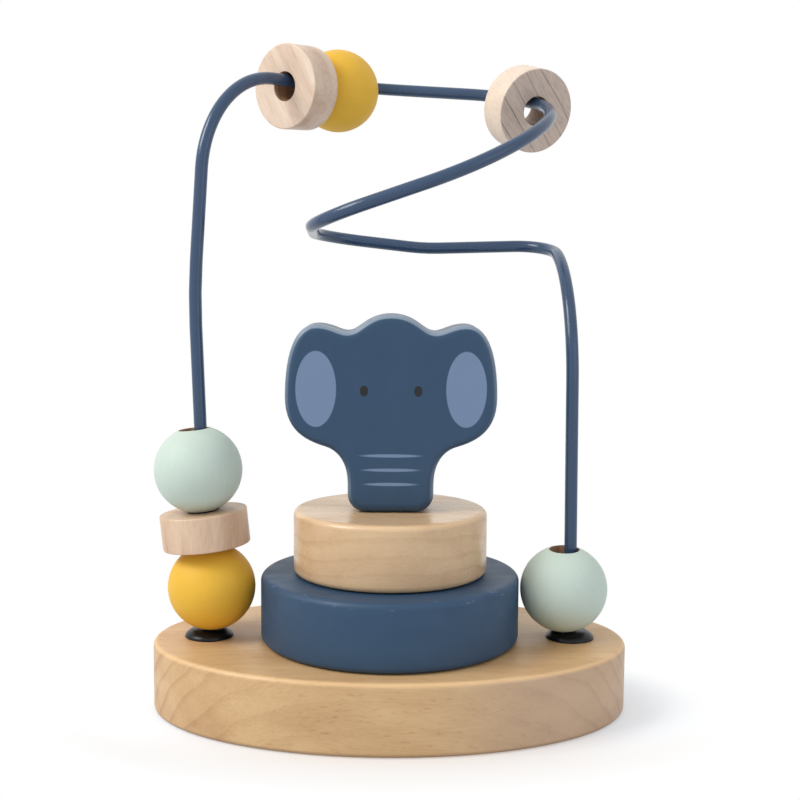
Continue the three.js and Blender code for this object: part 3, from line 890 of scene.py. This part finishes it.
def shaded_raw_bore(sizes):
    """The bare wood that a drill leaves in a bead's bore, darkened to a deep brown as painted shade of the
    hollow.
    """
    name = "Bare beech darkened as bore shade"
    if name in bpy.data.materials:
        return bpy.data.materials[name]
    return sanded_beech(
        name, sizes.deep, shade(sizes.deep, 0.5), grain=(0, 0, 1), layers=(1, 0.4, 0), cut=(0, 0, 1),
        ring_mm=3, figure=0.5)


def bare_bore(bead, node):
    """Gives the wall of a bead's bore its second material, the bare wood darkened as painted shade."""
    centre, axis = bead_place(node)

    def faces_the_wire(face):
        off = face.calc_center_median() - centre
        return face.normal.dot((off - off.dot(axis) * axis).normalized()) < -0.5

    make_active(bead)
    bpy.ops.object.mode_set(mode="EDIT")
    pick(bead, "FACE", faces_the_wire)
    bead.active_material_index = 1
    bpy.ops.object.material_slot_assign()
    clear_selection()


class BEADTOY_OT_balls(bpy.types.Operator):
    """Turns the painted ball beads and threads them on the wire"""

    bl_idname = "bead_toy.balls"
    bl_label = "Ball beads"

    def execute(self, context):
        sizes = context.scene.bead_toy.beads
        radius = sizes.ball / 2
        bore = sizes.bore / 2
        mouth = math.degrees(math.acos(bore / radius))
        shaded_raw = shaded_raw_bore(sizes)
        turned = turn_on_lathe(arc((0, 0), radius, -mouth, mouth, steps=44), steps=96)
        soften_edges(turned, sizes.mouth)
        for node, paint, slot in (
                ("left_yellow_ball", sizes.yellow, "yellow_paint"),
                ("left_mint_ball", sizes.mint, "mint_paint"),
                ("top_yellow_ball", sizes.yellow, "yellow_paint"),
                ("right_mint_ball", sizes.mint, "mint_paint")):
            ball = copy_of(turned)
            axis = thread_bead(ball, node)
            skin = painted_wood(
                "Satin paint on " + node.replace("_", " "), paint,
                grain=axis, layers=axis.cross((0.3, 1, 0.2)), roughness=0.55, sheen=0.3, streak=0.2)[0]
            finish_piece(ball, node + "_bead", node, node, slot, skin, shaded_raw)
            bare_bore(ball, node)
        bpy.data.objects.remove(turned)
        return {"FINISHED"}


class BEADTOY_OT_disc_beads(bpy.types.Operator):
    """Turns the bare disc beads and threads them on the wire"""

    bl_idname = "bead_toy.disc_beads"
    bl_label = "Disc beads"

    def execute(self, context):
        sizes = context.scene.bead_toy.beads
        half = sizes.disc_thickness / 2
        shaded_raw = shaded_raw_bore(sizes)
        turned = turn_on_lathe(
            disc_profile(sizes.bore / 2, sizes.disc / 2, -half, half, sizes.disc_edge, steps=6), steps=96)
        soften_edges(turned, sizes.mouth)
        # Wall and face tones are partly painted shade: the top bead's darker wall and the back bead's
        # darker, greyer face, which turns away from the light
        for node, pale, deep, grain, ring_mm, figure, wall_tone_and_shade, face_tone_and_shade, patch in (
                ("left_disc_bead", sizes.tan, sizes.deep, (0, 0.1, 1), 3.6, 0.1, 0.0, 0.1, 0.5),
                ("top_disc_bead", sizes.pale, sizes.deep, (0.45, -0.3, -0.85), 3.6, 0.14, 0.3, 0.05, 0.4),
                ("back_disc_bead", sizes.pale, sizes.grey, (0.6, 0.4, -0.75), 4.4, 0.36, 0.0, 0.3, 0.1)):
            bead = copy_of(turned)
            axis = thread_bead(bead, node)
            across = Vector(grain).cross(axis if abs(axis.dot(grain)) < 0.8 else (0.3, 1, 0))
            beech = sanded_beech(
                "Sanded beech of the " + node.replace("_", " "), pale, deep,
                grain=grain, layers=across, cut=axis, ring_mm=ring_mm, line=0.16, figure=0.04,
                cut_figure=figure, wall_tone_and_shade=wall_tone_and_shade, cut_tone_and_shade=face_tone_and_shade, patch_mm=(26, 5), patch=patch,
                fleck=0.2)
            finish_piece(bead, node + "_turned", node, node, "beech", beech, shaded_raw)
            bare_bore(bead, node)
        bpy.data.objects.remove(turned)
        return {"FINISHED"}


class BEADTOY_OT_post(bpy.types.Operator):
    """Gives the hidden post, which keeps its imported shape, its wood"""

    bl_idname = "bead_toy.post"
    bl_label = "Centre post"

    def execute(self, context):
        sizes = context.scene.bead_toy.stack
        dowel = sanded_beech(
            "Beech dowel", sizes.pale, sizes.deep, grain=(0, 0, 1), layers=(1, 0.3, 0), cut=(0, 0, 1),
            ring_mm=3)
        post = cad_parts["centre_post"]
        post.data.materials.clear()
        post.data.materials.append(dowel)
        return {"FINISHED"}


def seen_directly(tree):
    """1 for what the camera, a reflection or a clear piece shows, and 0 for the light cast on pieces."""
    seen = add_node(tree, "ShaderNodeLightPath")
    direct = add_node(tree, "ShaderNodeMath", {
        0: seen.outputs["Is Camera Ray"], 1: seen.outputs["Is Glossy Ray"]}, operation="ADD")
    direct = add_node(tree, "ShaderNodeMath", {
        0: direct.outputs[0], 1: seen.outputs["Is Transmission Ray"]}, operation="ADD", use_clamp=True)
    return direct.outputs[0]


class BEADTOY_OT_stage(bpy.types.Operator):
    """Sets the pale floor, the soft lights, the white surround and the camera"""

    bl_idname = "bead_toy.stage"
    bl_label = "Stage"

    def execute(self, context):
        clear_selection()
        bpy.ops.mesh.primitive_plane_add(size=8)
        floor = context.object
        floor.name = "pale_floor"
        floor.data.materials.append(self.white_floor(context.scene.bead_toy.board.pale))
        for lamp in LAMPS:
            self.lamp(*lamp)
        self.surround(context.scene)
        self.camera(context.scene)
        context.scene.view_settings.view_transform = "Standard"
        return {"FINISHED"}

    def white_floor(self, wood):
        """White paper that keeps the toy's shadow near it and fades to plain white for the camera."""
        material = bpy.data.materials.new("White paper floor")
        material.use_nodes = True
        tree = material.node_tree
        tree.nodes.clear()
        direct = seen_directly(tree)
        lift = add_node(tree, "ShaderNodeMath", {0: direct, 1: PAPER_GLOW}, operation="MULTIPLY")
        glow = add_node(tree, "ShaderNodeEmission", {"Strength": lift.outputs[0]})
        paper = add_node(tree, "ShaderNodeBsdfDiffuse", {"Color": linear("#d0d4da")})
        lit = add_node(tree, "ShaderNodeAddShader", {0: paper.outputs[0], 1: glow.outputs[0]})
        place = add_node(tree, "ShaderNodeTexCoord")
        board_reach = (1 / BOARD_HIGH.x, 1 / BOARD_HIGH.y, 1)
        spread = add_node(tree, "ShaderNodeMapping", {
            "Vector": place.outputs["Object"], "Scale": board_reach})
        away = add_node(tree, "ShaderNodeVectorMath", {0: spread.outputs["Vector"]}, operation="LENGTH")
        faded = add_node(tree, "ShaderNodeMapRange", {
            "Value": away.outputs["Value"], "From Min": 1.05, "From Max": 1.4},
            interpolation_type="SMOOTHSTEP")
        blank = add_node(tree, "ShaderNodeMath", {
            0: faded.outputs[0], 1: direct}, operation="MULTIPLY")
        white = add_node(tree, "ShaderNodeEmission", {"Strength": 1.0})
        both = add_node(tree, "ShaderNodeMixShader", {
            0: blank.outputs[0], 1: lit.outputs[0], 2: white.outputs[0]})

        # Warm light that the board's front wall throws on the paper
        ahead = add_node(tree, "ShaderNodeSeparateXYZ", {"Vector": spread.outputs["Vector"]})
        before = add_node(tree, "ShaderNodeMapRange", {
            "Value": ahead.outputs["Y"], "From Min": -0.45, "From Max": -1.0})
        close = add_node(tree, "ShaderNodeMapRange", {
            "Value": away.outputs["Value"], "From Min": 1.5, "From Max": 1.0, "To Max": 0.25})
        warmth = add_node(tree, "ShaderNodeMath", {
            0: before.outputs[0], 1: close.outputs[0]}, operation="MULTIPLY")
        warmth = add_node(tree, "ShaderNodeMath", {
            0: warmth.outputs[0], 1: direct}, operation="MULTIPLY")
        cream = add_node(tree, "ShaderNodeEmission", {"Color": tuple(wood)})
        warmed = add_node(tree, "ShaderNodeMixShader", {
            0: warmth.outputs[0], 1: both.outputs[0], 2: cream.outputs[0]})
        add_node(tree, "ShaderNodeOutputMaterial", {"Surface": warmed.outputs[0]})
        return material

    def lamp(self, name, place, size, watts, tint):
        """A square soft box that faces the toy."""
        clear_selection()
        bpy.ops.object.light_add(type="AREA", location=place)
        lamp = bpy.context.object
        lamp.name = name
        lamp.data.size = size
        lamp.data.energy = watts
        lamp.data.color = linear(tint)[:3]
        lamp.rotation_euler = (LAMP_AIM - Vector(place)).to_track_quat("-Z", "Y").to_euler()

    def surround(self, scene):
        """White for the camera and reflections, and an even softer light on the toy."""
        world = bpy.data.worlds.new("White surround")
        scene.world = world
        world.use_nodes = True
        tree = world.node_tree
        tree.nodes.clear()
        direct = seen_directly(tree)
        even, white = (
            add_node(tree, "ShaderNodeBackground", {"Color": linear("#ffffff"), "Strength": strength})
            for strength in (SURROUND_LIGHT, 1.0))
        both = add_node(tree, "ShaderNodeMixShader", {
            0: direct, 1: even.outputs[0], 2: white.outputs[0]})
        add_node(tree, "ShaderNodeOutputWorld", {"Surface": both.outputs[0]})

    def camera(self, scene):
        """The photograph's viewpoint, in front of the toy and a little above its middle."""
        clear_selection()
        bpy.ops.object.camera_add(location=CAMERA_PLACE)
        camera = bpy.context.object
        camera.data.sensor_width = 36
        camera.data.lens = CAMERA_LENS
        camera.data.clip_start = 0.01
        sideways, forward = math.sin(CAMERA_YAW), math.cos(CAMERA_YAW)
        level = math.cos(CAMERA_PITCH)
        across = Vector((forward, -sideways, 0))
        ahead = Vector((sideways * level, forward * level, -math.sin(CAMERA_PITCH)))
        above = across.cross(ahead)
        right = across * math.cos(CAMERA_ROLL) - above * math.sin(CAMERA_ROLL)
        top = across * math.sin(CAMERA_ROLL) + above * math.cos(CAMERA_ROLL)
        camera.rotation_euler = Matrix((right, top, -ahead)).transposed().to_euler()
        scene.camera = camera


OPERATORS = (
    BEADTOY_OT_board,
    BEADTOY_OT_wire,
    BEADTOY_OT_collars,
    BEADTOY_OT_post,
    BEADTOY_OT_discs,
    BEADTOY_OT_head,
    BEADTOY_OT_balls,
    BEADTOY_OT_disc_beads,
    BEADTOY_OT_stage,
)


class BEADTOY_PT_sidebar(bpy.types.Panel):
    """Lists the steps that build the toy"""

    bl_label = "Bead Toy"
    bl_idname = "BEADTOY_PT_sidebar"
    bl_space_type = "VIEW_3D"
    bl_region_type = "UI"
    bl_category = "Bead Toy"

    def draw(self, context):
        settings = context.scene.bead_toy
        for group in ("board", "wire", "beads", "stack"):
            box = self.layout.box()
            box.label(text=group.capitalize())
            values = getattr(settings, group)
            for key in values.__annotations__:
                box.prop(values, key)
        for step in OPERATORS:
            self.layout.operator(step.bl_idname)


CLASSES = (
    BoardSettings, WireSettings, BeadSettings, StackSettings, ToySettings,
    *OPERATORS, BEADTOY_PT_sidebar,
)


def register():
    for each in CLASSES:
        bpy.utils.register_class(each)
    bpy.types.Scene.bead_toy = PointerProperty(type=ToySettings)


def unregister():
    del bpy.types.Scene.bead_toy
    for each in reversed(CLASSES):
        bpy.utils.unregister_class(each)


def main():
    register()
    for step in OPERATORS:
        getattr(bpy.ops.bead_toy, step.bl_idname.split(".")[1])()


if __name__ == "__main__":
    main()
